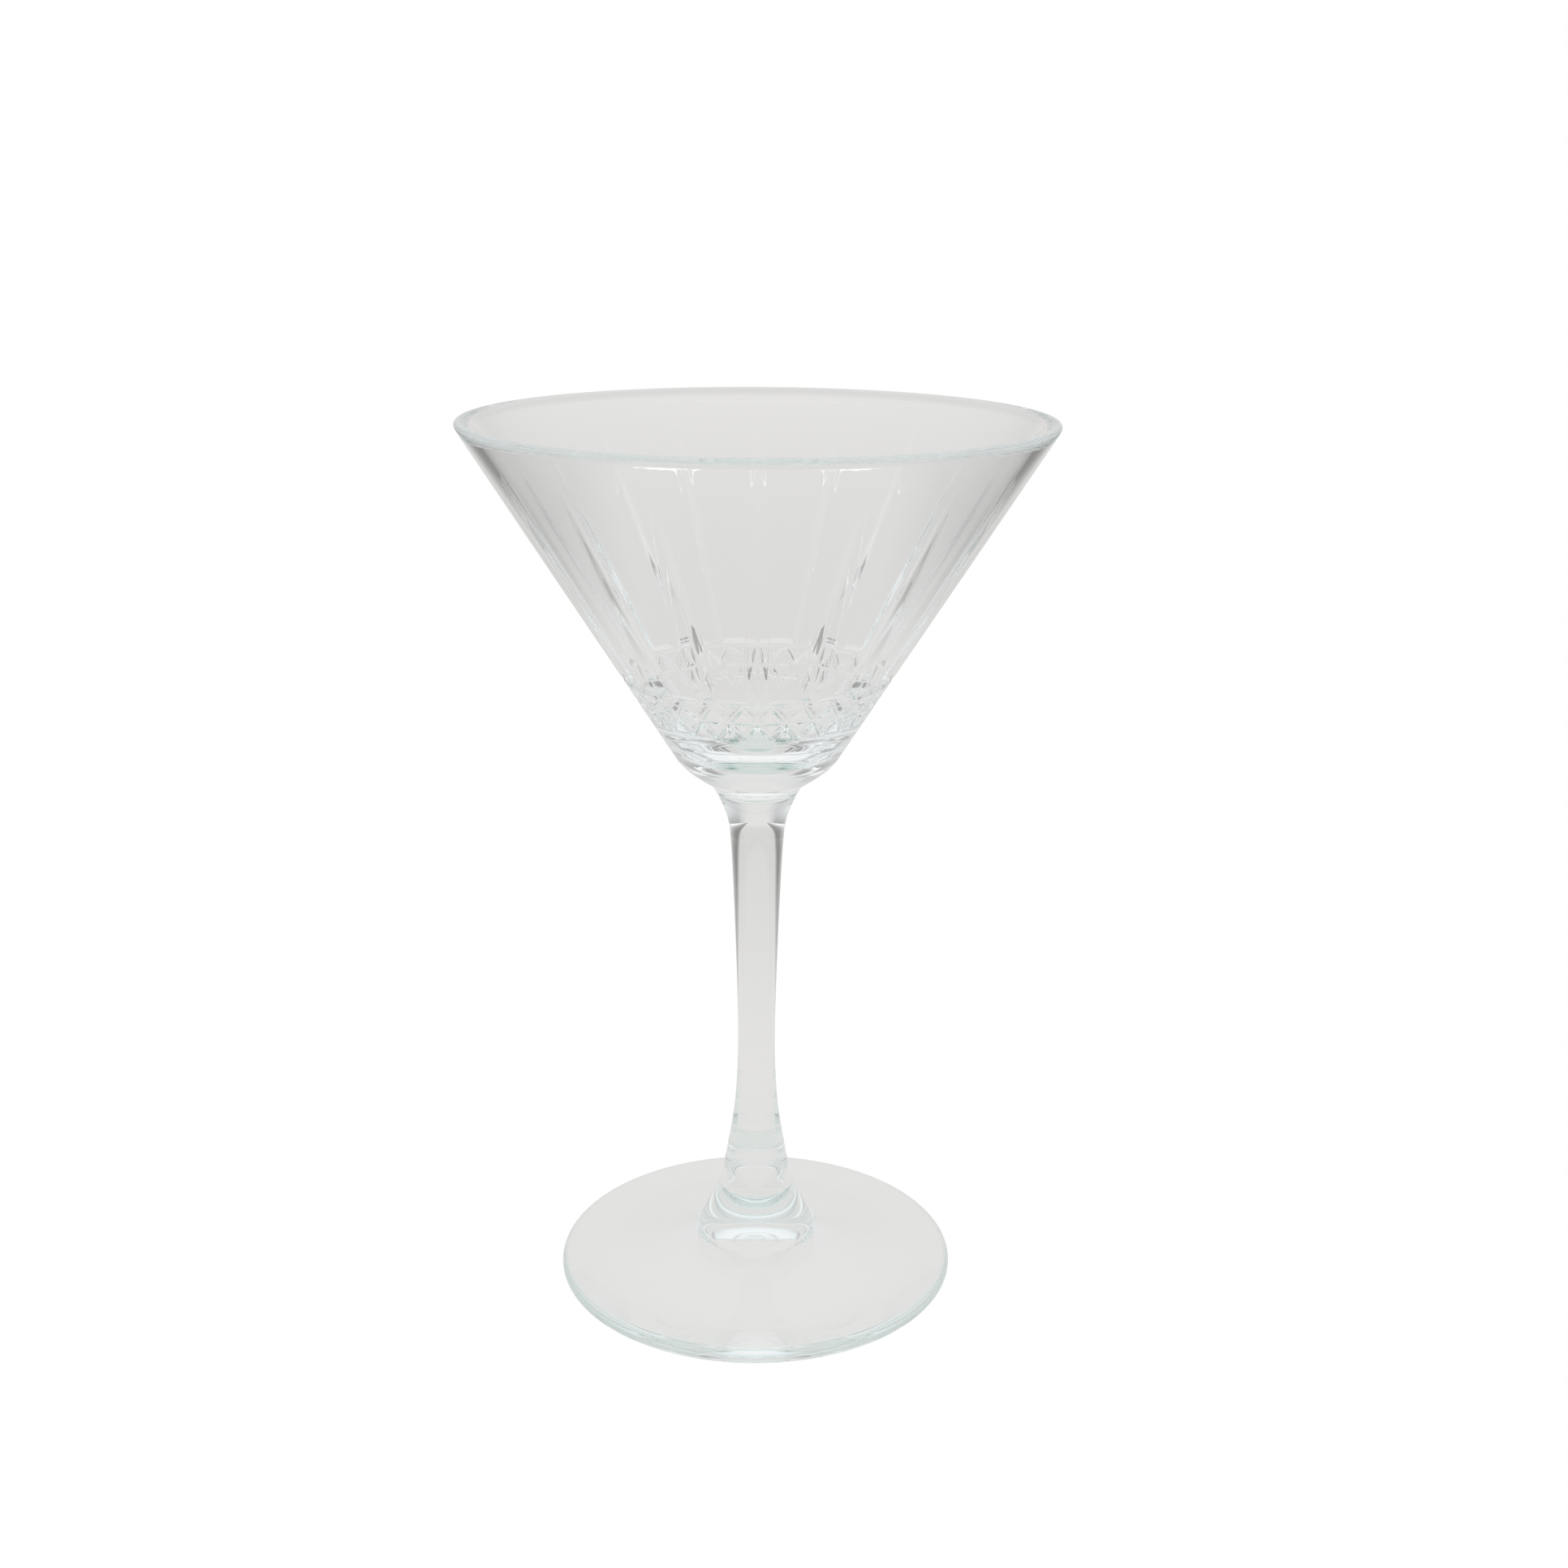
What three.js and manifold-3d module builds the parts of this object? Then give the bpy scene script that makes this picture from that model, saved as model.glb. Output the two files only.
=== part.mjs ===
// Martini glass in millimetres: origin at the centre of the resting ring, +Z up along the axis.
// Three glass pieces stand on one another, with a thin gap at each of the two welds.
import * as THREE from "three";
import { ConvexGeometry } from "three/addons/geometries/ConvexGeometry.js";
import { mergeVertices } from "three/addons/utils/BufferGeometryUtils.js";
import Module from "manifold-3d";

// Overall sizes
const HEIGHT = 172.5;
const FOOT_RADIUS = 39.7;

// Bowl: a cone outside and inside, with a rounded lip and a rounded floor
const CONE_BASE_Z = 108.2;
const CONE_BASE_RADIUS = 15.4;
const CONE_SLOPE = 0.6245;
const WALL = 2.3;
const LIP_DROP = 1.5;
const FLOOR_Z = 109.7;
const FLOOR_FLAT_RADIUS = 4.5;
const FLOOR_BLEND_Z = 122.5;

// Bowl decoration: flutes above a ring groove, crossed cuts below it
const FLUTES = 18;
const FLUTE_TIP_Z = 165;
const FLUTE_DEPTH = 1.1;
const FLUTE_WIDTH = 0.5;
const RING_Z = 125.1;
const RING_DEPTH = 0.55;
const RING_HALF_ANGLE = 55;
const DIAMONDS = 27;
const DIAMOND_TOP_Z = 124.3;
const DIAMOND_BOTTOM_Z = 117.6;
const DIAMOND_DEPTH = 0.35;
const DIAMOND_HALF_ANGLE = 50;
const END_RAMP = 1.2;

// Welds
const BOWL_WELD_Z = 101.2;
const FOOT_WELD_Z = 27.5;
const WELD_GAP = 0.3;

// Radius and height along the underside of the bowl, from the weld out to the cone
const STUB_CURVE = [
  [7.85, BOWL_WELD_Z + WELD_GAP / 2],
  [8.9, 102.9],
  [12.0, 105.1],
  [14.1, 106.8],
  [CONE_BASE_RADIUS, CONE_BASE_Z],
];

// Radius and height along the stem, from the foot up to the bowl
const STEM_CURVE = [
  [5.5, FOOT_WELD_Z + WELD_GAP / 2],
  [4.7, 32.5],
  [4.1, 38],
  [3.7, 46],
  [3.72, 55],
  [4.07, 68.5],
  [4.6, 82],
  [5.15, 92],
  [5.85, 96.5],
  [7.75, BOWL_WELD_Z - WELD_GAP / 2],
];

// Radius and height along the foot, from its rim in and up to the stem
const FOOT_EDGE = 3.2;
const FOOT_CURVE = [
  [FOOT_RADIUS - FOOT_EDGE / 2, FOOT_EDGE],
  [30, 4.7],
  [20, 6.4],
  [15, 7.7],
  [12.1, 9],
  [10.7, 11],
  [9.5, 13.6],
  [7.4, 18.2],
  [6.15, 23.8],
  [5.55, FOOT_WELD_Z - WELD_GAP / 2],
];

// The hollow under the foot, and the punt pressed into the middle of it
const HOLLOW_RADIUS = 34;
const HOLLOW_DEPTH = 4.5;
const PUNT_RADIUS = 8;
const PUNT_DEPTH = 3;

// Fineness of the round surfaces
const BOWL_SEGMENTS = 54;
const ROUND_SEGMENTS = 48;
const PUNT_STEPS = 6;
const HOLLOW_STEPS = 9;
const WELD_TOLERANCE = 1e-4;
const CUT_REACH = 3;

const BOWL_GLASS = { color: 0xdfe9e6, roughness: 0.03, metalness: 0 };
const STEM_GLASS = { color: 0xe2ebe8, roughness: 0.03, metalness: 0 };
const FOOT_GLASS = { color: 0xdce8e4, roughness: 0.03, metalness: 0 };

const wasm = await Module();
wasm.setup();

function radians(degrees) {
  return THREE.MathUtils.degToRad(degrees);
}

// Outer radius of the plain cone at a height
function coneRadius(z) {
  return CONE_BASE_RADIUS + CONE_SLOPE * (z - CONE_BASE_Z);
}

// Inner radius of the cone at a height
function innerRadius(z) {
  return coneRadius(z) - WALL * Math.hypot(1, CONE_SLOPE);
}

function curvePoints(pairs, count) {
  const knots = pairs.map(([r, z]) => new THREE.Vector2(r, z));
  return new THREE.SplineCurve(knots).getPoints(count);
}

// A closed mesh turned about Z from a profile of radius and height
function turned(profile, segments) {
  const lathe = new THREE.LatheGeometry(profile, segments);
  return lathe.rotateX(Math.PI / 2);
}

function solidOf(geometry) {
  const bare = geometry.clone();
  bare.deleteAttribute("normal");
  bare.deleteAttribute("uv");
  const welded = mergeVertices(bare, WELD_TOLERANCE);
  const mesh = new wasm.Mesh({
    numProp: 3,
    vertProperties: welded.attributes.position.array,
    triVerts: new Uint32Array(welded.index.array),
  });
  return new wasm.Manifold(mesh);
}

function geometryOf(solid) {
  const mesh = solid.getMesh();
  const geometry = new THREE.BufferGeometry();
  geometry.setAttribute("position", new THREE.BufferAttribute(mesh.vertProperties, 3));
  geometry.setIndex(new THREE.BufferAttribute(mesh.triVerts, 1));
  geometry.computeVertexNormals();
  return geometry;
}

// The rounded lip, from the outer cone over to the inner one
function lipPoints() {
  const start = HEIGHT - LIP_DROP;
  const crest = HEIGHT + LIP_DROP / 3;
  const lip = new THREE.CubicBezierCurve(
    new THREE.Vector2(coneRadius(start), start),
    new THREE.Vector2(coneRadius(crest), crest),
    new THREE.Vector2(innerRadius(crest), crest),
    new THREE.Vector2(innerRadius(start), start),
  );
  return lip.getPoints(6);
}

// The floor of the bowl, from the inner cone round to the flat middle
function floorPoints() {
  const corner = innerRadius(FLOOR_Z);
  const floor = new THREE.QuadraticBezierCurve(
    new THREE.Vector2(innerRadius(FLOOR_BLEND_Z), FLOOR_BLEND_Z),
    new THREE.Vector2(corner, FLOOR_Z),
    new THREE.Vector2(FLOOR_FLAT_RADIUS, FLOOR_Z),
  );
  return [...floor.getPoints(6), new THREE.Vector2(0, FLOOR_Z)];
}

function plainBowl() {
  const stub = curvePoints(STUB_CURVE, 8);
  const foot = new THREE.Vector2(0, stub[0].y);
  const profile = [foot, ...stub, ...lipPoints(), ...floorPoints()];
  return solidOf(turned(profile, BOWL_SEGMENTS));
}

// A point on the cone at an angle and height, and the outward normal there
function onCone(angle, z) {
  const outward = new THREE.Vector3(Math.cos(angle), Math.sin(angle), 0);
  const point = outward.clone().multiplyScalar(coneRadius(z)).setZ(z);
  const normal = outward.clone().setZ(-CONE_SLOPE).normalize();
  return { point, normal };
}

// The four corners of a V cut's open side and the two ends of its bottom line
function vCut(from, to, fromDepth, toDepth, spread, ramp) {
  const normal = from.normal.clone().add(to.normal).normalize();
  const start = from.point.clone().addScaledVector(normal, -fromDepth);
  const end = to.point.clone().addScaledVector(normal, -toDepth);
  const along = end.clone().sub(start).normalize();
  const side = along.clone().cross(normal).normalize();
  const corners = [start, end];
  for (const sign of [-1, 1]) {
    for (const [base, way] of [[start, -1], [end, 1]]) {
      const corner = base.clone().addScaledVector(normal, CUT_REACH);
      corner.addScaledVector(side, sign * CUT_REACH * spread);
      corner.addScaledVector(along, way * CUT_REACH * ramp);
      corners.push(corner);
    }
  }
  return solidOf(new ConvexGeometry(corners));
}

// A tapering flute: deepest at the ring groove, where it takes up half of the pitch,
// and running out at its tip
function flute(angle) {
  const half = (Math.PI / FLUTES) * FLUTE_WIDTH;
  const radius = coneRadius(RING_Z);
  const rise = FLUTE_DEPTH - radius * (1 - Math.cos(half));
  const spread = (radius * Math.sin(half)) / rise;
  const low = onCone(angle, RING_Z + FLUTE_DEPTH);
  const tip = onCone(angle, FLUTE_TIP_Z);
  return vCut(low, tip, FLUTE_DEPTH, 0, spread, 0);
}

// One diagonal of the diamond band, leaning by one diamond over the band's height
function diagonal(angle, lean) {
  const half = (lean * Math.PI) / DIAMONDS;
  const low = onCone(angle - half, DIAMOND_BOTTOM_Z);
  const high = onCone(angle + half, DIAMOND_TOP_Z);
  const spread = Math.tan(radians(DIAMOND_HALF_ANGLE));
  return vCut(low, high, DIAMOND_DEPTH, DIAMOND_DEPTH, spread, END_RAMP);
}

function ringGroove() {
  const radius = coneRadius(RING_Z);
  const out = new THREE.Vector2(1, -CONE_SLOPE).normalize();
  const up = new THREE.Vector2(-out.y, out.x);
  const bottom = new THREE.Vector2(radius, RING_Z).addScaledVector(out, -RING_DEPTH);
  const reach = bottom.clone().addScaledVector(out, CUT_REACH);
  const spread = CUT_REACH * Math.tan(radians(RING_HALF_ANGLE));
  const lower = reach.clone().addScaledVector(up, -spread);
  const upper = reach.clone().addScaledVector(up, spread);
  return solidOf(turned([bottom, lower, upper, bottom.clone()], BOWL_SEGMENTS));
}

function bowl() {
  const cuts = [ringGroove()];
  for (let i = 0; i < FLUTES; i++) {
    cuts.push(flute((2 * Math.PI * i) / FLUTES - Math.PI / 2));
  }
  for (let i = 0; i < DIAMONDS; i++) {
    const angle = (2 * Math.PI * i) / DIAMONDS - Math.PI / 2;
    cuts.push(diagonal(angle, 1), diagonal(angle, -1));
  }
  return geometryOf(plainBowl().subtract(wasm.Manifold.union(cuts)));
}

function stem() {
  const side = curvePoints(STEM_CURVE, 20);
  const low = new THREE.Vector2(0, side[0].y);
  const high = new THREE.Vector2(0, side.at(-1).y);
  return turned([low, ...side, high], ROUND_SEGMENTS);
}

// Height of the foot's underside, which rises from a flat resting ring to the punt
function undersideHeight(radius) {
  const hollow = HOLLOW_DEPTH * Math.cos((Math.PI / 2) * (radius / HOLLOW_RADIUS)) ** 2;
  return hollow + PUNT_DEPTH * Math.max(0, 1 - (radius / PUNT_RADIUS) ** 2);
}

function undersidePoints() {
  const points = [];
  for (let i = 0; i < PUNT_STEPS; i++) {
    points.push(PUNT_RADIUS * Math.sin((Math.PI / 2) * (i / PUNT_STEPS)));
  }
  for (let i = 0; i <= HOLLOW_STEPS; i++) {
    points.push(PUNT_RADIUS + (HOLLOW_RADIUS - PUNT_RADIUS) * (i / HOLLOW_STEPS));
  }
  return points.map((radius) => new THREE.Vector2(radius, undersideHeight(radius)));
}

// The foot: a hollow underside, a half-round edge, and a top that sweeps up into the boss
function foot() {
  const edge = FOOT_EDGE / 2;
  const arc = new THREE.EllipseCurve(
    FOOT_RADIUS - edge,
    edge,
    edge,
    edge,
    -Math.PI / 2,
    Math.PI / 2,
  );
  const top = curvePoints(FOOT_CURVE, 18);
  const high = new THREE.Vector2(0, top.at(-1).y);
  const profile = [...undersidePoints(), ...arc.getPoints(6), ...top.slice(1), high];
  return turned(profile, ROUND_SEGMENTS);
}

function piece(name, geometry, look) {
  const mesh = new THREE.Mesh(geometry, new THREE.MeshStandardMaterial(look));
  mesh.name = name;
  return mesh;
}

const glass = new THREE.Group();
glass.name = "martini_glass";
glass.add(piece("bowl", bowl(), BOWL_GLASS));
glass.add(piece("stem", stem(), STEM_GLASS));
glass.add(piece("foot", foot(), FOOT_GLASS));

export default glass;
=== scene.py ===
"""Martini glass in clear pressed glass: the detailed pieces, a white studio and the camera.

Lengths are written in millimetres and turned to metres where a mesh or an object is made.
"""

import math

import bpy
import numpy as np
from mathutils import Matrix, Vector


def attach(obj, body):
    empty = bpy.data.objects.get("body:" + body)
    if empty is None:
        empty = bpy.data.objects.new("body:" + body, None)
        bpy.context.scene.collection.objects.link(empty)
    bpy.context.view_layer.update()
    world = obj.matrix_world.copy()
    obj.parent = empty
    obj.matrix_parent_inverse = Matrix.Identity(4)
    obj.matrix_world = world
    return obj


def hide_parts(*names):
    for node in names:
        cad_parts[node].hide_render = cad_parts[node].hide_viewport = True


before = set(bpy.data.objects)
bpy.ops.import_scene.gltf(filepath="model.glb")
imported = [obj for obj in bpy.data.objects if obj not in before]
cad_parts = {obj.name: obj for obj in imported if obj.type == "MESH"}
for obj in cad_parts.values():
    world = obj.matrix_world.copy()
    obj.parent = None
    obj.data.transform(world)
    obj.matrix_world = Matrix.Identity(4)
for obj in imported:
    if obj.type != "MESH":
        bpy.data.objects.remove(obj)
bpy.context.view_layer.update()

MM = 0.001

# ---------------------------------------------------------------- sizes, in millimetres

HEIGHT = 172.5
FOOT_RADIUS = 39.7

CONE_BASE_Z = 108.2
CONE_BASE_RADIUS = 15.4
CONE_SLOPE = 0.6245
WALL = 2.3
LIP_DROP = 1.5
FLOOR_Z = 109.7
FLOOR_FLAT_RADIUS = 4.5
FLOOR_BLEND_Z = 122.5

FLUTES = 18
FLUTE_TIP_Z = 165.0
FLUTE_DEPTH = 1.1
FLUTE_WIDTH = 0.5  # share of the pitch that a flute takes up at the ring groove
FLUTE_END_RAMP = 1.1
RING_Z = 125.1
RING_DEPTH = 0.55
RING_SLOPE = 0.7
DIAMONDS = 27
DIAMOND_TOP_Z = 124.3
DIAMOND_BOTTOM_Z = 117.6
DIAMOND_MIDDLE_Z = (DIAMOND_TOP_Z + DIAMOND_BOTTOM_Z) / 2
DIAMOND_HALF_HEIGHT = (DIAMOND_TOP_Z - DIAMOND_BOTTOM_Z) / 2
DIAMOND_REACH = 5  # no diamond cut is further than this from the middle of the band
DIAMOND_DEPTH = 0.58
DIAMOND_CROWN = 0.15  # extra depth in the middle of the band
DIAMOND_SLOPE = 0.84
DIAMOND_END_RAMP = 1.2
STAR_DEPTH = 0.38
STAR_HALF_HEIGHT = 2.6
BELT_SHARE = 0.8  # depth of the level cut through the stars, as a share of theirs
SOFTNESS = 0.13  # over this difference in depth, two cuts blend into each other

BOWL_WELD_Z = 101.2
FOOT_WELD_Z = 27.5
WELD_GAP = 0.02
WELD_GROOVE = 0.10

COLUMNS_BOWL = 486
COLUMNS_ROUND = 256
# Bands of rows on the outside of the bowl: from, to and row height
BOWL_BANDS = [
    (CONE_BASE_Z, 116.6, 2.1),
    (116.6, 126.6, 0.2),
    (126.6, 131.0, 0.44),
    (131.0, 157.0, 1.0),
    (157.0, 165.6, 0.43),
]
WALL_TOP_Z = 168.5
# Rows close below the lip, so that its smooth shading doesn't bend the wall's reflections
RIM_SUPPORT = [HEIGHT - LIP_DROP - 0.5, HEIGHT - LIP_DROP - 0.1]
# Rows close above the bowl's floor, for the same reason
FLOOR_SUPPORT = [FLOOR_BLEND_Z + 0.1, FLOOR_BLEND_Z + 0.6]
INNER_ROW_HEIGHT = 7.6
HOLLOW_ROW_WIDTH = 0.8
# Points along each curve
STUB_POINTS = 28
LIP_POINTS = 18
FLOOR_POINTS = 22
STEM_POINTS = 90
FOOT_POINTS = 80
PUNT_POINTS = 24

# Curves are knots of (radius, z)
STUB_CURVE = [(7.85, BOWL_WELD_Z), (8.9, 102.9), (12.0, 105.1), (14.1, 106.8), (15.4, 108.2)]
STEM_CURVE = [
    (5.5, FOOT_WELD_Z),
    (4.7, 32.5),
    (4.1, 38.0),
    (3.7, 46.0),
    (3.72, 55.0),
    (4.07, 68.5),
    (4.6, 82.0),
    (5.15, 92.0),
    (5.85, 96.5),
    (7.75, BOWL_WELD_Z),
]
FOOT_EDGE = 3.2
HOLLOW_RADIUS = 34.0
HOLLOW_DEPTH = 4.5
PUNT_RADIUS = 8.0
PUNT_DEPTH = 3.0
FOOT_CURVE = [
    (FOOT_RADIUS - FOOT_EDGE / 2, FOOT_EDGE),
    (30.0, 4.7),
    (20.0, 6.4),
    (15.0, 7.7),
    (12.1, 9.0),
    (10.7, 11.0),
    (9.5, 13.6),
    (7.4, 18.2),
    (6.15, 23.8),
    (5.55, FOOT_WELD_Z),
]


# ---------------------------------------------------------------- curves


def cone_radius(z):
    return CONE_BASE_RADIUS + CONE_SLOPE * (z - CONE_BASE_Z)


def inner_radius(z):
    return cone_radius(z) - WALL * math.hypot(1, CONE_SLOPE)


def spline(knots, count):
    """Points on a uniform Catmull-Rom curve through the knots, like three.js's SplineCurve."""
    knots = [np.array(k, float) for k in knots]
    last = len(knots) - 1
    points = []
    for i in range(count + 1):
        at = last * i / count
        k = min(int(at), last)
        w = at - k
        p0 = knots[k if k == 0 else k - 1]
        p1 = knots[k]
        p2 = knots[last if k > last - 1 else k + 1]
        p3 = knots[last if k > last - 2 else k + 2]
        v0, v1 = (p2 - p0) / 2, (p3 - p1) / 2
        points.append(
            (2 * p1 - 2 * p2 + v0 + v1) * w**3
            + (-3 * p1 + 3 * p2 - 2 * v0 - v1) * w**2
            + v0 * w
            + p1
        )
    return [tuple(p) for p in points]


def bezier(points, count):
    """Points on the Bezier curve with these control points."""
    points = [np.array(p, float) for p in points]
    n = len(points) - 1
    made = []
    for i in range(count + 1):
        t = i / count
        shares = [math.comb(n, k) * t**k * (1 - t) ** (n - k) for k in range(n + 1)]
        made.append(tuple(sum(share * p for share, p in zip(shares, points))))
    return made


# ---------------------------------------------------------------- the cut surface of the bowl


def soft_max(a, b):
    h = np.clip(1 - np.abs(a - b) / SOFTNESS, 0, None)
    return np.maximum(a, b) + h * h * SOFTNESS / 4


def soft_min(a, b):
    return -soft_max(-a, -b)


def offset(angle, period):
    """Signed angle from the nearest multiple of period."""
    return angle - period * np.round(angle / period)


def flute_depth(angle, z):
    """Radial depth of the V flutes, flat-sided between their bottom lines and their edges."""
    reach = (FLUTE_TIP_Z - z) / (FLUTE_TIP_Z - RING_Z)
    if reach <= 0:
        return np.full_like(angle, -1.0)
    radius = cone_radius(z)
    half = math.pi / FLUTES * FLUTE_WIDTH * reach
    bottom = radius - FLUTE_DEPTH * reach
    side = np.abs(offset(angle, 2 * math.pi / FLUTES))
    ex, ey = radius * math.cos(half), radius * math.sin(half)
    facet = bottom * ey / (ey * np.cos(side) - (ex - bottom) * np.sin(side))
    depth = radius - facet
    end = (z - RING_Z) * FLUTE_END_RAMP
    return soft_min(depth, np.full_like(depth, end))


def diamond_depth(angle, z):
    """Radial depth of the crossed diagonals, the star at each crossing and the belt."""
    period = 2 * math.pi / DIAMONDS
    radius = cone_radius(z)
    t = (z - DIAMOND_MIDDLE_Z) / DIAMOND_HALF_HEIGHT
    slope_length = 2 * DIAMOND_HALF_HEIGHT * math.hypot(1, CONE_SLOPE)
    lean = math.cos(math.atan2(radius * period, slope_length))
    crown = DIAMOND_CROWN * (1 - min(t * t, 1))
    full = DIAMOND_DEPTH + crown - max(abs(t) - 1, 0) * DIAMOND_HALF_HEIGHT * DIAMOND_END_RAMP
    depth = np.full_like(angle, -1.0)
    for sign in (-1, 1):
        away = np.abs(offset(angle - sign * t * period / 2, period)) * radius * lean
        depth = soft_max(depth, full - away * DIAMOND_SLOPE)
    up = abs(z - DIAMOND_MIDDLE_Z)
    star = STAR_DEPTH * (1 - (up / STAR_HALF_HEIGHT) ** 2)
    across = np.abs(offset(angle, period)) * radius
    depth = soft_max(depth, star - across * DIAMOND_SLOPE)
    belt = STAR_DEPTH * BELT_SHARE - up * DIAMOND_SLOPE
    return soft_max(depth, np.full_like(depth, belt))


def bowl_radius(angle, z):
    """Outer radius of the cut cone at an angle from the front and a height."""
    ring = RING_DEPTH - abs(z - RING_Z) * RING_SLOPE
    depth = soft_max(np.zeros_like(angle), np.full_like(angle, ring))
    if z > RING_Z:
        depth = soft_max(depth, flute_depth(angle, z))
    if abs(z - DIAMOND_MIDDLE_Z) < DIAMOND_REACH:
        depth = soft_max(depth, diamond_depth(angle, z))
    return cone_radius(z) - depth


# ---------------------------------------------------------------- meshes


def revolved(name, rows, columns, cut=None, caps=()):
    """A closed mesh from rows of (radius, z), on the axis at both ends.

    cut(angle, z) gives the radius of a row whose radius is None. Faces in the bands named in
    caps (by index of the band's lower row) take the second material and are flat shaded.
    """
    angle = np.arange(columns) * (2 * math.pi / columns)
    turn = np.stack([np.sin(angle), -np.cos(angle)], axis=1)
    vertices = [(0, 0, rows[0][1] * MM)]
    for radius, z in rows[1:-1]:
        r = cut(angle, z) if radius is None else np.full(columns, float(radius))
        ring = np.column_stack([turn * r[:, None], np.full(columns, z)]) * MM
        vertices.extend(map(tuple, ring))
    vertices.append((0, 0, rows[-1][1] * MM))
    rings = len(rows) - 2
    pairs = [(i, (i + 1) % columns) for i in range(columns)]
    bands = [[(0, 1 + j, 1 + i) for i, j in pairs]]
    for k in range(rings - 1):
        a, b = 1 + k * columns, 1 + (k + 1) * columns
        bands.append([(a + i, a + j, b + j, b + i) for i, j in pairs])
    a, last = 1 + (rings - 1) * columns, len(vertices) - 1
    bands.append([(a + i, a + j, last) for i, j in pairs])
    slots = [int(k in caps) for k in range(len(bands)) for _ in pairs]
    mesh = bpy.data.meshes.new(name)
    mesh.from_pydata(vertices, [], [face for band in bands for face in band])
    mesh.polygons.foreach_set("material_index", slots)
    mesh.polygons.foreach_set("use_smooth", [s == 0 for s in slots])
    mesh.update()
    ob = bpy.data.objects.new(name, mesh)
    bpy.context.scene.collection.objects.link(ob)
    return ob


def spaced(low, high, step):
    """Even values from low to high, about a step apart."""
    count = max(1, round((high - low) / step))
    return [low + (high - low) * i / count for i in range(count + 1)]


def bowl_rows():
    weld = BOWL_WELD_Z + WELD_GAP / 2
    stub = spline(STUB_CURVE, STUB_POINTS)
    stub[0] = (stub[0][0] - WELD_GROOVE, weld)
    rows = [(0, weld), *stub]
    heights = [z for band in BOWL_BANDS for z in spaced(*band)[1:]]
    rows += [(None, z) for z in [*heights, WALL_TOP_Z, *RIM_SUPPORT]]
    start, crest = HEIGHT - LIP_DROP, HEIGHT + LIP_DROP / 3
    rows += bezier(
        [
            (cone_radius(start), start),
            (cone_radius(crest), crest),
            (inner_radius(crest), crest),
            (inner_radius(start), start),
        ],
        LIP_POINTS,
    )
    wall = spaced(FLOOR_SUPPORT[1], WALL_TOP_Z, INNER_ROW_HEIGHT)
    heights = [FLOOR_SUPPORT[0], *wall, *RIM_SUPPORT]
    rows += [(inner_radius(z), z) for z in reversed(heights)]
    rows += bezier(
        [
            (inner_radius(FLOOR_BLEND_Z), FLOOR_BLEND_Z),
            (inner_radius(FLOOR_Z), FLOOR_Z),
            (FLOOR_FLAT_RADIUS, FLOOR_Z),
        ],
        FLOOR_POINTS,
    )
    return [*rows, (0, FLOOR_Z)]


def stem_rows():
    low, high = FOOT_WELD_Z + WELD_GAP / 2, BOWL_WELD_Z - WELD_GAP / 2
    side = spline(STEM_CURVE, STEM_POINTS)
    side[0] = (side[0][0] - WELD_GROOVE, low)
    side[-1] = (side[-1][0] - WELD_GROOVE, high)
    return [(0, low), *side, (0, high)]


def underside(radius):
    """Height of the foot's underside: a shallow hollow with a small punt in its middle."""
    hollow = HOLLOW_DEPTH * math.cos(math.pi / 2 * radius / HOLLOW_RADIUS) ** 2
    return hollow + PUNT_DEPTH * max(0, 1 - (radius / PUNT_RADIUS) ** 2)


def foot_rows():
    high = FOOT_WELD_Z - WELD_GAP / 2
    edge = FOOT_EDGE / 2
    turns = [math.radians(a) for a in range(-90, 91, 10)]
    arc = [(FOOT_RADIUS - edge + edge * math.cos(a), edge + edge * math.sin(a)) for a in turns]
    top = spline(FOOT_CURVE, FOOT_POINTS)[1:]
    top[-1] = (top[-1][0] - WELD_GROOVE, high)
    turns = [math.pi / 2 * k / PUNT_POINTS for k in range(PUNT_POINTS + 1)]
    radii = [PUNT_RADIUS * math.sin(a) for a in turns]
    radii += spaced(PUNT_RADIUS, HOLLOW_RADIUS, HOLLOW_ROW_WIDTH)[1:]
    under = [(r, underside(r)) for r in radii]
    return [*under, *arc, *top, (0, high)]


# ---------------------------------------------------------------- materials

GLASS_IOR = 1.52
ABSORB_COLOUR = (0.55, 0.82, 0.76, 1)
ABSORB_DENSITY = {"bowl": 1.3, "stem": 1.6, "foot": 2.8}
# The slow waves of a mould's surface: scale of the noise and height in metres
WAVES = {"bowl": (90, 0.000004), "stem": (70, 0.000003), "foot": (60, 0.000003)}
WAVE_DETAIL = 1.5


def empty_tree(owner):
    """The nodes and links of a material or world, with nothing in them."""
    owner.use_nodes = True
    owner.node_tree.nodes.clear()
    return owner.node_tree.nodes, owner.node_tree.links


def absorption(nodes, links, out, density):
    volume = nodes.new("ShaderNodeVolumeAbsorption")
    volume.inputs["Color"].default_value = ABSORB_COLOUR
    volume.inputs["Density"].default_value = density
    links.new(volume.outputs["Volume"], out.inputs["Volume"])


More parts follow.
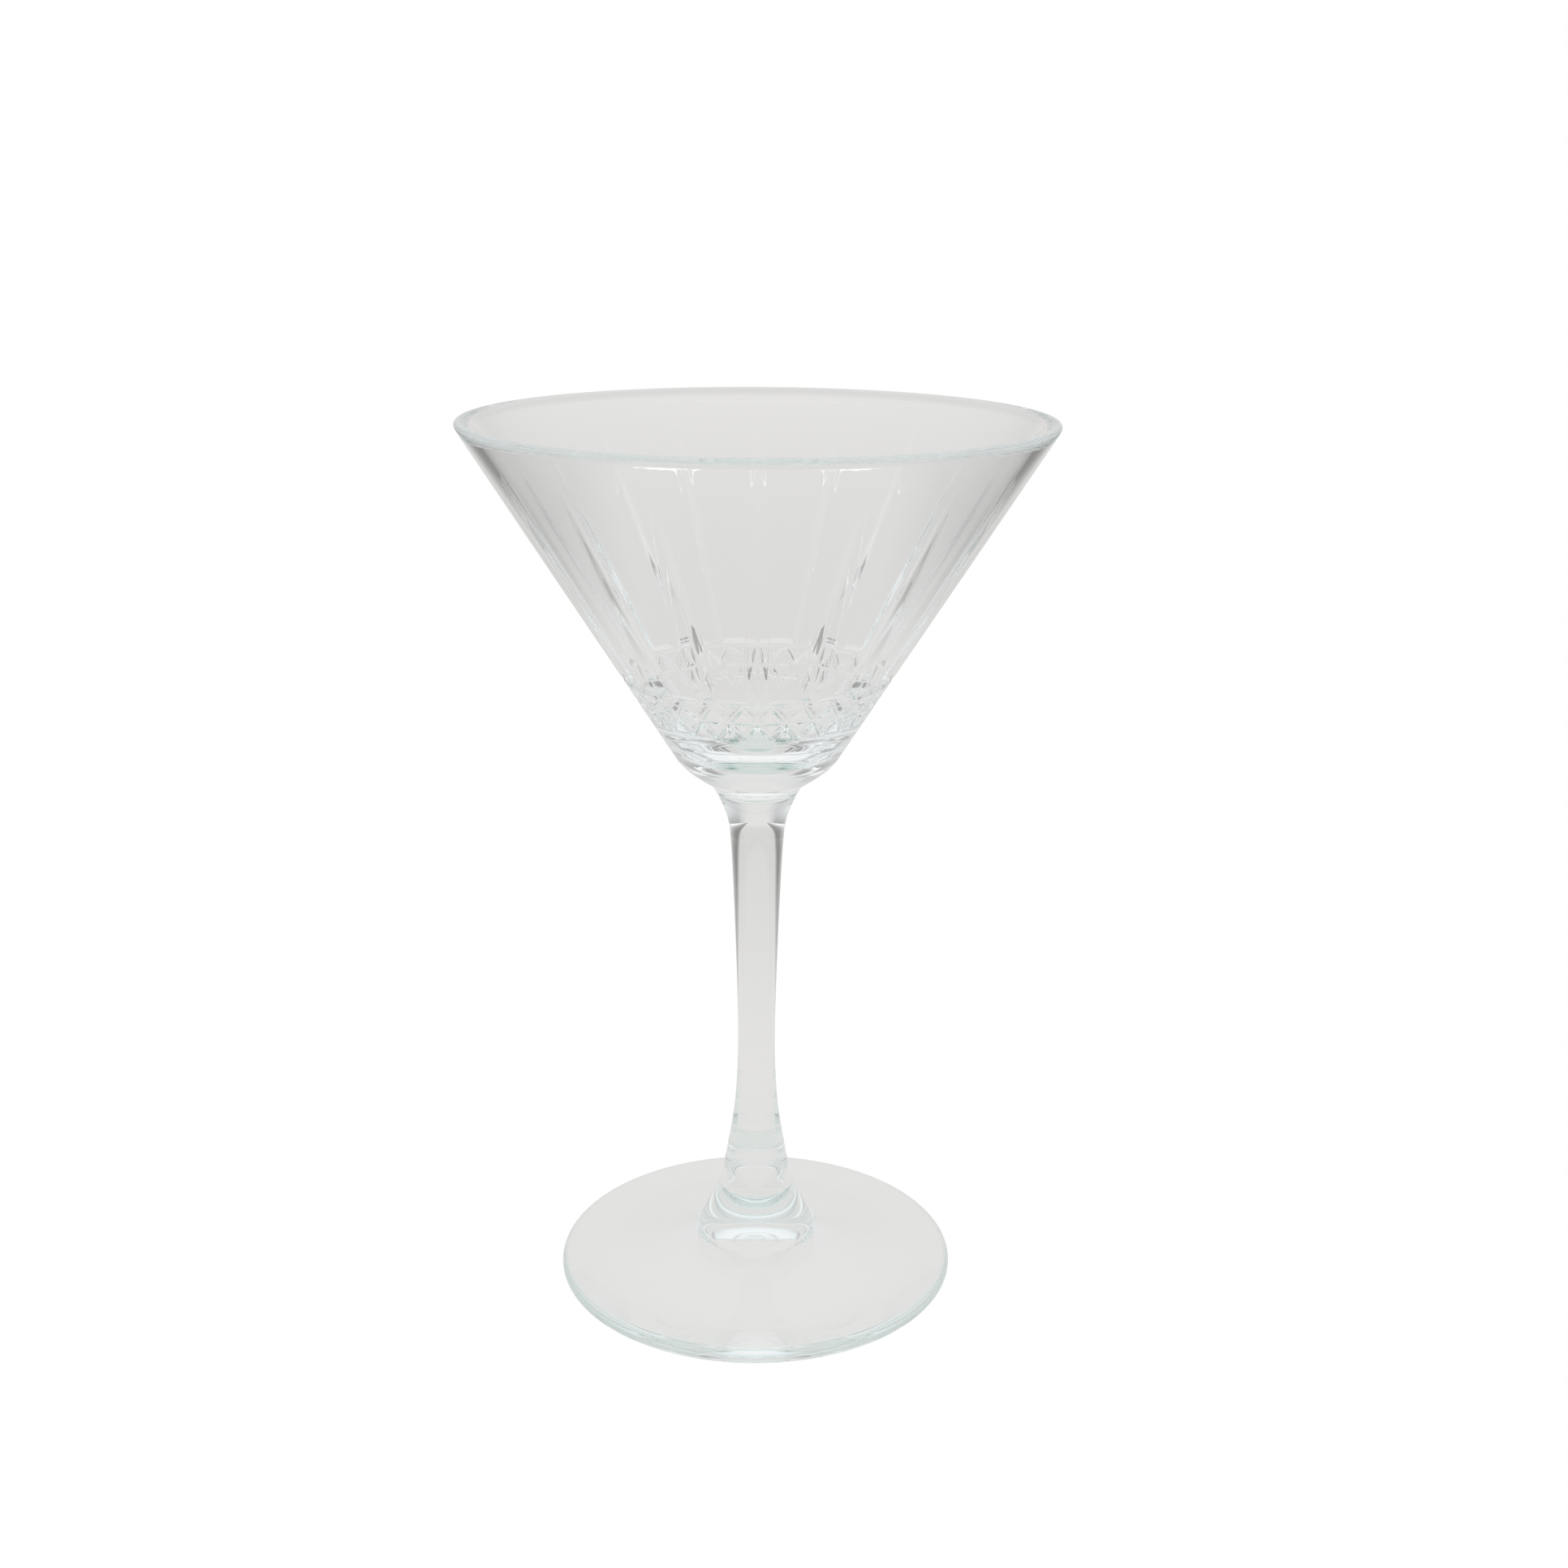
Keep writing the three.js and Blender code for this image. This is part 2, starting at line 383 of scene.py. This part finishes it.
def glass_material(node):
    """Clear pressed glass: smooth, and faintly green in depth."""
    mat = bpy.data.materials.new(node + "_glass")
    nodes, links = empty_tree(mat)
    wave_scale, wave_height = WAVES[node]
    out = nodes.new("ShaderNodeOutputMaterial")
    shader = nodes.new("ShaderNodeBsdfPrincipled")
    shader.inputs["Base Color"].default_value = (1, 1, 1, 1)
    shader.inputs["Roughness"].default_value = 0.0
    shader.inputs["IOR"].default_value = GLASS_IOR
    shader.inputs["Transmission Weight"].default_value = 1.0
    links.new(shader.outputs["BSDF"], out.inputs["Surface"])
    coords = nodes.new("ShaderNodeTexCoord")
    noise = nodes.new("ShaderNodeTexNoise")
    noise.inputs["Scale"].default_value = wave_scale
    noise.inputs["Detail"].default_value = WAVE_DETAIL
    links.new(coords.outputs["Object"], noise.inputs["Vector"])
    bump = nodes.new("ShaderNodeBump")
    bump.inputs["Strength"].default_value = 1.0
    bump.inputs["Distance"].default_value = wave_height
    links.new(noise.outputs["Fac"], bump.inputs["Height"])
    links.new(bump.outputs["Normal"], shader.inputs["Normal"])
    absorption(nodes, links, out, ABSORB_DENSITY[node])
    return mat


def weld_material(node):
    """The hidden face of a fused weld: light runs straight on from one piece into the next."""
    mat = bpy.data.materials.new("weld_" + node)
    nodes, links = empty_tree(mat)
    out = nodes.new("ShaderNodeOutputMaterial")
    clear = nodes.new("ShaderNodeBsdfTransparent")
    links.new(clear.outputs["BSDF"], out.inputs["Surface"])
    absorption(nodes, links, out, ABSORB_DENSITY[node])
    return mat


# ---------------------------------------------------------------- the studio

WHITE = (1.0, 1.0, 1.0)
TABLE_COLOUR = (0.765, 0.757, 0.745)
TABLE_SHADE = tuple(0.38 * c for c in TABLE_COLOUR)

# The table is a paper sweep that widens towards the back, with shade along both its edges
# and light beyond. Stops are (metres outside the widening line, colour), in rising order.
SWEEP_SPREAD = 0.21
SWEEP_STOPS = [(0.125, TABLE_COLOUR), (0.175, TABLE_SHADE), (0.225, TABLE_SHADE), (1.0, WHITE)]

# It is a little darker some way behind the glass. Stops are (share of DIP_REACH metres, colour).
DIP_REACH = 1.6
DIP_STOPS = [(0.06, WHITE), (0.24, (0.89,) * 3), (0.50, (0.91,) * 3), (1.0, WHITE)]

# Colour of the room, from the horizon (0) to straight up (1)
ROOM_STOPS = [
    (0.0, (0.36, 0.365, 0.37)),
    (0.25, (0.62, 0.63, 0.635)),
    (0.6, (0.86, 0.89, 0.91)),
    (1.0, WHITE),
]
# Straight behind the glass the room takes the colour of the sweep, between these values of
# the direction's y
BACKDROP_START = 0.88
BACKDROP_FULL = 0.97

FLOOR_HALF_SIZE = 8.0
FLOOR_DROP = 0.0002


def math_node(nodes, links, operation, first, second=None):
    """A Math node; its second input is a number, another output or unused."""
    node = nodes.new("ShaderNodeMath")
    node.operation = operation
    links.new(first, node.inputs[0])
    if isinstance(second, (int, float)):
        node.inputs[1].default_value = second
    elif second is not None:
        links.new(second, node.inputs[1])
    return node.outputs[0]


def ramp(nodes, links, value, levels):
    """A colour ramp through stops of (position, colour), in rising order."""
    node = nodes.new("ShaderNodeValToRGB")
    stops = node.color_ramp.elements
    for position, _ in levels[1:-1]:
        stops.new(position)
    for i, (position, colour) in enumerate(levels):
        stops[i].position = position
        stops[i].color = (*colour, 1)
    links.new(value, node.inputs["Fac"])
    return node.outputs["Color"]


def mixed_colour(nodes, blend_type):
    node = nodes.new("ShaderNodeMix")
    node.data_type = "RGBA"
    node.blend_type = blend_type
    return node


def white_to_camera(nodes, links, kind, out, colour):
    """White where the camera sees it, and in this colour to light that meets the glass."""
    seen = nodes.new(kind)
    seen.inputs["Color"].default_value = (*WHITE, 1)
    lit = nodes.new(kind)
    links.new(colour, lit.inputs["Color"])
    path = nodes.new("ShaderNodeLightPath")
    mix = nodes.new("ShaderNodeMixShader")
    links.new(path.outputs["Is Camera Ray"], mix.inputs["Fac"])
    links.new(lit.outputs[0], mix.inputs[1])
    links.new(seen.outputs[0], mix.inputs[2])
    links.new(mix.outputs["Shader"], out.inputs["Surface"])


def stage_material():
    mat = bpy.data.materials.new("pale_floor")
    nodes, links = empty_tree(mat)
    out = nodes.new("ShaderNodeOutputMaterial")
    coords = nodes.new("ShaderNodeTexCoord")
    split = nodes.new("ShaderNodeSeparateXYZ")
    links.new(coords.outputs["Object"], split.inputs["Vector"])
    across = math_node(nodes, links, "ABSOLUTE", split.outputs["X"])
    widening = math_node(nodes, links, "MAXIMUM", split.outputs["Y"], 0)
    widening = math_node(nodes, links, "MULTIPLY", widening, SWEEP_SPREAD)
    past = math_node(nodes, links, "SUBTRACT", across, widening)
    depth = math_node(nodes, links, "MULTIPLY", split.outputs["Y"], 1 / DIP_REACH)
    both = mixed_colour(nodes, "MULTIPLY")
    both.inputs["Factor"].default_value = 1.0
    links.new(ramp(nodes, links, past, SWEEP_STOPS), both.inputs["A"])
    links.new(ramp(nodes, links, depth, DIP_STOPS), both.inputs["B"])
    white_to_camera(nodes, links, "ShaderNodeEmission", out, both.outputs["Result"])
    return mat


def make_floor():
    mesh = bpy.data.meshes.new("floor")
    s = FLOOR_HALF_SIZE
    mesh.from_pydata([(-s, -s, 0), (s, -s, 0), (s, s, 0), (-s, s, 0)], [], [(0, 1, 2, 3)])
    ob = bpy.data.objects.new("floor", mesh)
    ob.location.z = -FLOOR_DROP
    bpy.context.scene.collection.objects.link(ob)
    mesh.materials.append(stage_material())


def make_world():
    world = bpy.data.worlds.new("studio")
    bpy.context.scene.world = world
    nodes, links = empty_tree(world)
    out = nodes.new("ShaderNodeOutputWorld")
    coords = nodes.new("ShaderNodeTexCoord")
    split = nodes.new("ShaderNodeSeparateXYZ")
    links.new(coords.outputs["Generated"], split.inputs["Vector"])
    behind = nodes.new("ShaderNodeMapRange")
    behind.inputs["From Min"].default_value = BACKDROP_START
    behind.inputs["From Max"].default_value = BACKDROP_FULL
    links.new(split.outputs["Y"], behind.inputs["Value"])
    blend = mixed_colour(nodes, "MIX")
    links.new(behind.outputs["Result"], blend.inputs["Factor"])
    links.new(ramp(nodes, links, split.outputs["Z"], ROOM_STOPS), blend.inputs["A"])
    blend.inputs["B"].default_value = (*TABLE_COLOUR, 1)
    white_to_camera(nodes, links, "ShaderNodeBackground", out, blend.outputs["Result"])


# The lamp is a thin tube, arched over the camera: all of it is LAMP_DISTANCE metres from
# LAMP_CENTRE, and its angle above the horizon falls by LAMP_DROOP times the turn squared.
LAMP_CENTRE = (0, 0.045, 0.158)
LAMP_DISTANCE = 3.0
LAMP_RISE = 56.05
LAMP_DROOP = 0.00173
LAMP_REACH = 84
LAMP_WIDTH = 0.009
LAMP_RADIANCE = 5.0
LAMP_STEPS = 24
LAMP_OVERLAP = 1.02
LAMP_AIM = (0, 0, 0.16)


def lamp_point(turn):
    """A point on the lamp's arch, by angle in degrees from the front."""
    rise = math.radians(LAMP_RISE - LAMP_DROOP * turn**2)
    turn = math.radians(turn)
    flat = math.cos(rise)
    away = Vector((math.sin(turn) * flat, -math.cos(turn) * flat, math.sin(rise)))
    return Vector(LAMP_CENTRE) + away * LAMP_DISTANCE


def make_lamp():
    """The tube, as short rectangles end to end that face the glass."""
    for i in range(LAMP_STEPS):
        start = lamp_point(LAMP_REACH * (2 * i / LAMP_STEPS - 1))
        end = lamp_point(LAMP_REACH * (2 * (i + 1) / LAMP_STEPS - 1))
        place = (start + end) / 2
        along = (end - start).normalized()
        back = (place - Vector(LAMP_AIM)).normalized()
        back = (back - along * back.dot(along)).normalized()
        data = bpy.data.lights.new("lamp_%d" % i, "AREA")
        data.shape = "RECTANGLE"
        data.size, data.size_y = (end - start).length * LAMP_OVERLAP, LAMP_WIDTH
        data.energy = LAMP_RADIANCE * math.pi * data.size * data.size_y
        ob = bpy.data.objects.new(data.name, data)
        turn = Matrix((along, back.cross(along), back)).transposed()
        ob.matrix_world = Matrix.Translation(place) @ turn.to_4x4()
        ob.visible_camera = False
        bpy.context.scene.collection.objects.link(ob)


# Camera found from the outlines of the rim and the foot: metres, degrees and millimetres
CAMERA_PLACE = (0.0, -0.3678, 0.2152)
CAMERA_PITCH = 17.01
CAMERA_YAW = -0.80
CAMERA_ROLL = 0.42
CAMERA_LENS = 45.894
CAMERA_SENSOR = 36.0

# Enough for light that is trapped inside a piece to come out again
TRAPPED_BOUNCES = 200


def make_camera():
    data = bpy.data.cameras.new("camera")
    data.sensor_width = CAMERA_SENSOR
    data.lens = CAMERA_LENS
    data.clip_start, data.clip_end = 0.01, 100
    ob = bpy.data.objects.new("camera", data)
    tilt = Matrix.Rotation(math.radians(90 - CAMERA_PITCH), 4, "X")
    yaw = Matrix.Rotation(math.radians(CAMERA_YAW), 4, "Z")
    roll = Matrix.Rotation(math.radians(CAMERA_ROLL), 4, "Z")
    ob.matrix_world = Matrix.Translation(CAMERA_PLACE) @ yaw @ tilt @ roll
    bpy.context.scene.collection.objects.link(ob)
    bpy.context.scene.camera = ob


def set_look():
    view, cycles = bpy.context.scene.view_settings, bpy.context.scene.cycles
    view.view_transform = "Standard"
    view.look = "None"
    cycles.max_bounces = TRAPPED_BOUNCES
    cycles.transmission_bounces = TRAPPED_BOUNCES
    cycles.glossy_bounces = TRAPPED_BOUNCES
    cycles.transparent_max_bounces = 24
    cycles.caustics_reflective = True
    cycles.caustics_refractive = True
    cycles.blur_glossy = 0.0
    cycles.sample_clamp_indirect = 12.0
    cycles.use_denoising = True


# ---------------------------------------------------------------- the glass


def make_piece(node, rows, columns, cut=None, caps=()):
    ob = revolved("glass_" + node, rows, columns, cut, caps)
    ob.data.materials.append(glass_material(node))
    ob.data.materials.append(weld_material(node))
    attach(ob, "root")
    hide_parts(node)


make_piece("bowl", bowl_rows(), COLUMNS_BOWL, bowl_radius, caps=(0,))
rows = stem_rows()
make_piece("stem", rows, COLUMNS_ROUND, caps=(0, len(rows) - 2))
rows = foot_rows()
make_piece("foot", rows, COLUMNS_ROUND, caps=(len(rows) - 2,))

make_floor()
make_world()
make_lamp()
make_camera()
set_look()
